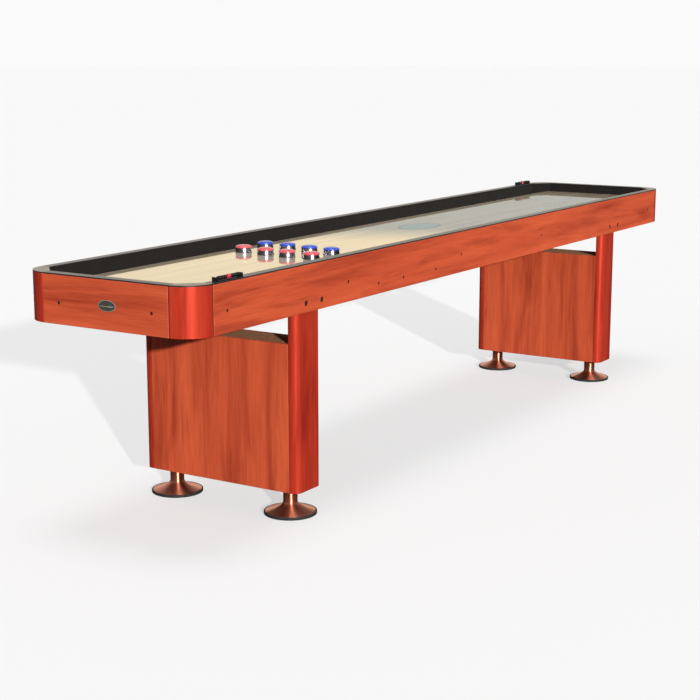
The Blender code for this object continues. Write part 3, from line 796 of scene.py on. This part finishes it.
def build_levelers():
    for name, _, _ in QUADRANTS:
        low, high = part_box(f"leveler_foot_{name}")
        pad_low, pad_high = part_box(f"leveler_pad_{name}")
        centre = ((low.x + high.x) / 2, (low.y + high.y) / 2, 0)
        body = f"leveler_{name}"
        rim = (high.x - low.x) / 2
        add_piece(f"foot_{name}", turned(foot_profile(rim, low.z, high.z)), "copper", body,
                  [f"leveler_foot_{name}"], centre, 40)
        pad = pad_profile((pad_high.x - pad_low.x) / 2, pad_high.z, rim + 0.0004, low.z - 0.0003)
        add_piece(f"pad_{name}", turned(pad), "rubber", body,
                  [f"leveler_pad_{name}"], centre, 40)


# ---------------------------------------------------------------- pucks and scorers
def disc_profile(radius):
    """The metal body of a puck, ground hollow underneath."""
    top, waist = PUCK_METAL_HEIGHT, radius - 0.0018
    profile = [(0, 0.0006), (radius * 0.72, 0.0006), (radius * 0.76, 0), (radius, 0),
               (radius - 0.0001, 0.0016), (waist, top - 0.0008), (waist - 0.001, top), (0, top)]
    return rounded(profile, {3: 0.0008})


def lid_profile(radius, tall):
    """The domed plastic cap of a puck."""
    base, spring = PUCK_METAL_HEIGHT, PUCK_METAL_HEIGHT + 0.0018
    profile = [(0, base + 0.0001), (radius - 0.0004, base + 0.0001), (radius, base + 0.0005)]
    steps = 16
    for step in range(steps):
        rise = math.pi / 2 * step / steps
        profile.append((radius * math.cos(rise) ** 0.8,
                        spring + (tall - spring) * math.sin(rise) ** 0.8))
    return profile + [(0, tall)]


def build_pucks():
    for colour in ("red", "blue"):
        for index in range(1, 5):
            node = f"puck_{colour}_{index}"
            low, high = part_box(node)
            radius = (high.x - low.x) / 2
            centre = ((low.x + high.x) / 2, (low.y + high.y) / 2, low.z)
            add_piece(f"disc_{colour}_{index}", turned(disc_profile(radius)),
                      "chrome", node, [node], centre, 30)
            lid = lid_profile(radius - 0.0006, high.z - low.z)
            add_piece(f"lid_{colour}_{index}", turned(lid), f"cap_{colour}", node,
                      (), centre, 40)


def bead_profile(radius, length):
    """A barrel-shaped bead with a bore for the rod."""
    steps = 10
    outer = []
    for step in range(steps + 1):
        t = -1 + 2 * step / steps
        bulge = 0.62 + 0.38 * math.sqrt(max(0.0, 1 - t * t))
        outer.append((radius * bulge, length * (t + 1) / 2))
    return outer + [(BEAD_BORE, length), (BEAD_BORE, 0)]


def bracket_mesh(low, high):
    """A scorer's frame: a base plate with an upright at each end."""
    bm = block(low, (high.x, high.y, low.z + BRACKET_PLATE), 0.0003, 2)
    for start in (low.x, high.x - BRACKET_END):
        upright = block((start, low.y, low.z), (start + BRACKET_END, high.y, high.z), 0.0008, 3)
        spare = bpy.data.meshes.new("upright")
        upright.to_mesh(spare)
        bm.from_mesh(spare)
        upright.free()
        bpy.data.meshes.remove(spare)
    return bm


def build_scorers():
    lie_down = Matrix.Rotation(math.pi / 2, 4, "Y")
    for side in ("front", "back"):
        low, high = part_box(f"scorer_frame_{side}")
        beads_low, beads_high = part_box(f"scorer_beads_{side}_inner")
        axis_y = (beads_low.y + beads_high.y) / 2
        axis_z = (beads_low.z + beads_high.z) / 2
        add_piece(f"bracket_{side}", bracket_mesh(low, high), "frame",
                  replaces=[f"scorer_frame_{side}"])
        span = high.x - low.x - BRACKET_END
        rod = turned([(0, 0), (ROD_RADIUS, 0), (ROD_RADIUS, span), (0, span)], 32)
        add_piece(f"rod_{side}", rod, "steel",
                  place=Matrix.Translation((low.x + BRACKET_END / 2, axis_y, axis_z)) @ lie_down)
        for group in ("inner", "outer"):
            node = f"scorer_beads_{side}_{group}"
            low_b, high_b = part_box(node)
            length = (high_b.x - low_b.x) / BEADS_IN_GROUP
            radius = (high_b.z - low_b.z) / 2
            for index in range(BEADS_IN_GROUP):
                place = Matrix.Translation((low_b.x + index * length, axis_y, axis_z))
                bead = turned(bead_profile(radius, length - BEAD_GAP), 40)
                add_piece(f"bead_{side}_{group}_{index + 1}", bead, "bead",
                          f"scorer_{side}_{group}_beads",
                          [node] if index == 0 else (), place @ lie_down, 50)
        low_m, high_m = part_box(f"scorer_marker_{side}")
        marker = turned(bead_profile((high_m.z - low_m.z) / 2, high_m.x - low_m.x), 48)
        place = Matrix.Translation((low_m.x, axis_y, axis_z))
        add_piece(f"marker_{side}", marker, "marker", f"scorer_{side}_marker",
                  [f"scorer_marker_{side}"], place @ lie_down, 50)


# ---------------------------------------------------------------- fasteners
def recess_cutter(kind, radius, height, depth):
    """A hexagon or cross that reaches a depth below a head's top."""
    if kind == "hexagon":
        cut = bmesh.new()
        bmesh.ops.create_cone(cut, cap_ends=True, segments=6, radius1=radius * 0.5,
                              radius2=radius * 0.5, depth=2 * depth,
                              matrix=Matrix.Translation((0, 0, height)))
        return cut
    arm, width = radius * 0.62, radius * 0.14
    outline = []
    for quarter in range(4):
        turn = Matrix.Rotation(quarter * math.pi / 2, 2)
        outline += [tuple(turn @ Vector(p)) for p in ((arm, -width), (arm, width), (width, width))]
    return prism(outline, height - depth, height + depth, 0)


def fastener_mesh(name, radius, height, recess):
    """A low domed head with a cross or hexagon recess; its seat is at height 0."""
    dome = [(0, 0), (radius, 0), (radius, height * 0.45)]
    dome += [(radius * math.cos(t), height * (0.45 + 0.55 * math.sin(t)))
             for t in (math.radians(a) for a in (20, 40, 60, 75))]
    dome.append((0, height))
    bm = turned(dome, 32)
    bmesh.ops.recalc_face_normals(bm, faces=bm.faces)
    mesh = bpy.data.meshes.new(name)
    bm.to_mesh(mesh)
    bm.free()
    head = bpy.data.objects.new(name, mesh)
    bpy.context.scene.collection.objects.link(head)
    cut = recess_cutter(recess, radius, height, height * 0.5)
    bmesh.ops.recalc_face_normals(cut, faces=cut.faces)
    cutter = bpy.data.meshes.new(name + "_recess")
    cut.to_mesh(cutter)
    cut.free()
    mesh = subtract(head, cutter)
    bpy.data.objects.remove(head)
    mesh.materials.clear()
    mesh.materials.append(MAT["dark_steel"])
    mesh.shade_smooth()
    mesh.set_sharp_from_angle(angle=math.radians(30))
    return mesh


def build_fasteners():
    """Screw and bolt heads sunk in the holes of the aprons."""
    screw = fastener_mesh("screw_head", *SCREW_HEAD, "cross")
    bolt = fastener_mesh("bolt_head", *BOLT_HEAD, "hexagon")
    legs = [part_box(f"leg_top_board_{side}") for side in ("left", "right")]
    for side, sign in (("front", -1), ("back", 1)):
        low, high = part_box(f"side_apron_{side}")
        outer = low.y if sign < 0 else high.y
        heads = [(screw, SCREW_SEAT, -sign * x, UPPER_SCREW_DROP) for x in UPPER_SCREWS_X]
        heads += [(screw, SCREW_SEAT, -sign * x, LOWER_SCREW_DROP) for x in LOWER_SCREWS_X]
        for leg_low, leg_high in legs:
            middle = (leg_low.x + leg_high.x) / 2
            heads += [(bolt, BOLT_SEAT, middle + half * BOLT_SPREAD, BOLT_DROP) for half in (-1, 1)]
        for index, (mesh, seat, x, drop) in enumerate(heads):
            place = (x, outer - sign * seat, high.z - drop)
            kind = "bolt" if mesh is bolt else "screw"
            add_mesh(f"{kind}_{side}_{index + 1}", mesh, "dark_steel", smooth=0,
                     place=facing(place, (0, sign, 0)))
    for side, sign in (("left", -1), ("right", 1)):
        low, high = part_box(f"end_apron_{side}")
        outer = low.x if sign < 0 else high.x
        for end, half in (("front", -1), ("back", 1)):
            place = (outer - sign * SCREW_SEAT, half * END_SCREW_Y, high.z - UPPER_SCREW_DROP)
            add_mesh(f"screw_{side}_{end}", screw, "dark_steel", smooth=0,
                     place=facing(place, (sign, 0, 0)))


# ---------------------------------------------------------------- stage
def add_stage(name, bm, colour, glow):
    """A matt surface that also glows, which isn't part of the table."""
    mesh = bpy.data.meshes.new(name)
    bm.to_mesh(mesh)
    bm.free()
    finish = Finish(f"{name}_paint", colour, 0.9, Specular_IOR_Level=0.0,
                    Emission_Color=(1.0, 1.0, 1.0, 1.0), Emission_Strength=glow)
    mesh.materials.append(finish.material)
    obj = bpy.data.objects.new(name, mesh)
    bpy.context.scene.collection.objects.link(obj)
    obj.visible_diffuse = False
    obj.visible_glossy = False
    return obj


def build_floor():
    """A pale floor, and a pale ring round its edge that only the camera sees."""
    bm = bmesh.new()
    bmesh.ops.create_grid(bm, x_segments=8, y_segments=8, size=FLOOR_REACH)
    floor = add_stage("floor", bm, FLOOR_COLOUR, FLOOR_GLOW)
    bm = bmesh.new()
    ring = bmesh.ops.create_circle(bm, segments=96, radius=BACKDROP_RADIUS)["verts"]
    edges = list({edge for vert in ring for edge in vert.link_edges})
    grown = bmesh.ops.extrude_edge_only(bm, edges=edges)["geom"]
    bmesh.ops.translate(bm, vec=(0, 0, BACKDROP_HEIGHT),
                        verts=[item for item in grown if isinstance(item, bmesh.types.BMVert)])
    backdrop = add_stage("backdrop", bm, (0.0, 0.0, 0.0), BACKDROP_GLOW)
    backdrop.visible_shadow = False


def aimed(azimuth, drop):
    """A turn that points -Z at an azimuth and some degrees below the horizon."""
    az, down = math.radians(azimuth), math.radians(drop)
    travel = Vector((math.cos(down) * math.cos(az), math.cos(down) * math.sin(az),
                     -math.sin(down)))
    return travel.to_track_quat("-Z", "Y").to_matrix().to_4x4()


def add_sun(name, azimuth, drop, strength, spread, colour=(1.0, 1.0, 1.0)):
    light = bpy.data.lights.new(name, "SUN")
    light.energy = strength
    light.angle = math.radians(spread)
    light.color = colour
    lamp = bpy.data.objects.new(name, light)
    lamp.matrix_world = aimed(azimuth, drop)
    bpy.context.scene.collection.objects.link(lamp)


def sky(tree, height, stops):
    """Colours by degrees above the horizon."""
    ramp = tree.nodes.new("ShaderNodeValToRGB")
    tree.links.new(height.outputs["Result"], ramp.inputs["Fac"])
    elements = ramp.color_ramp.elements
    while len(elements) < len(stops):
        elements.new(1.0)
    for element, (degrees, colour) in zip(elements, stops):
        element.position = (math.sin(math.radians(degrees)) + 1) / 2
        element.color = (*colour, 1.0)
    return ramp.outputs["Color"]


def build_surroundings():
    """What the gloss reflects: a bright side behind the table, and a dim side round the rest."""
    world = bpy.data.worlds.new("studio")
    bpy.context.scene.world = world
    world.use_nodes = True
    tree = world.node_tree
    coordinates = tree.nodes.new("ShaderNodeTexCoord")
    split = tree.nodes.new("ShaderNodeSeparateXYZ")
    tree.links.new(coordinates.outputs["Generated"], split.inputs[0])
    height = tree.nodes.new("ShaderNodeMapRange")
    height.inputs["From Min"].default_value = -1.0
    tree.links.new(split.outputs["Z"], height.inputs["Value"])
    towards = tree.nodes.new("ShaderNodeVectorMath")
    towards.operation = "DOT_PRODUCT"
    towards.inputs[1].default_value = (math.cos(math.radians(BRIGHT_AZIMUTH)),
                                       math.sin(math.radians(BRIGHT_AZIMUTH)), 0.0)
    tree.links.new(coordinates.outputs["Generated"], towards.inputs[0])
    side = tree.nodes.new("ShaderNodeMapRange")
    side.interpolation_type = "SMOOTHSTEP"
    side.inputs["From Min"].default_value = SIDE_BLEND[0]
    side.inputs["From Max"].default_value = SIDE_BLEND[1]
    tree.links.new(towards.outputs["Value"], side.inputs["Value"])
    blend = tree.nodes.new("ShaderNodeMix")
    blend.data_type = "RGBA"
    tree.links.new(side.outputs["Result"], blend.inputs[0])
    tree.links.new(sky(tree, height, DIM_SIDE), blend.inputs[6])
    tree.links.new(sky(tree, height, BRIGHT_SIDE), blend.inputs[7])
    tree.links.new(blend.outputs[2], tree.nodes["Background"].inputs["Color"])


def add_camera():
    camera_data = bpy.data.cameras.new("camera")
    camera_data.lens = CAMERA_LENS
    camera_data.clip_end = 500.0
    camera = bpy.data.objects.new("camera", camera_data)
    camera.matrix_world = Matrix.Translation(CAMERA_PLACE) @ aimed(CAMERA_AZIMUTH, CAMERA_PITCH)
    bpy.context.scene.collection.objects.link(camera)
    bpy.context.scene.camera = camera


finish_boards()
build_corners()
build_trim()
build_wall_lining()
build_gutter()
build_corner_lining()
build_playfield()
build_badge()
build_leg_posts()
build_levelers()
build_pucks()
build_scorers()
build_fasteners()
bpy.context.scene.view_settings.view_transform = "Standard"
build_floor()
add_sun("key_light", KEY_AZIMUTH, KEY_DROP, KEY_STRENGTH, KEY_SPREAD, KEY_COLOUR)
add_sun("top_light", 0, TOP_DROP, TOP_STRENGTH, TOP_SPREAD)
build_surroundings()
add_camera()

bpy.context.view_layer.update()
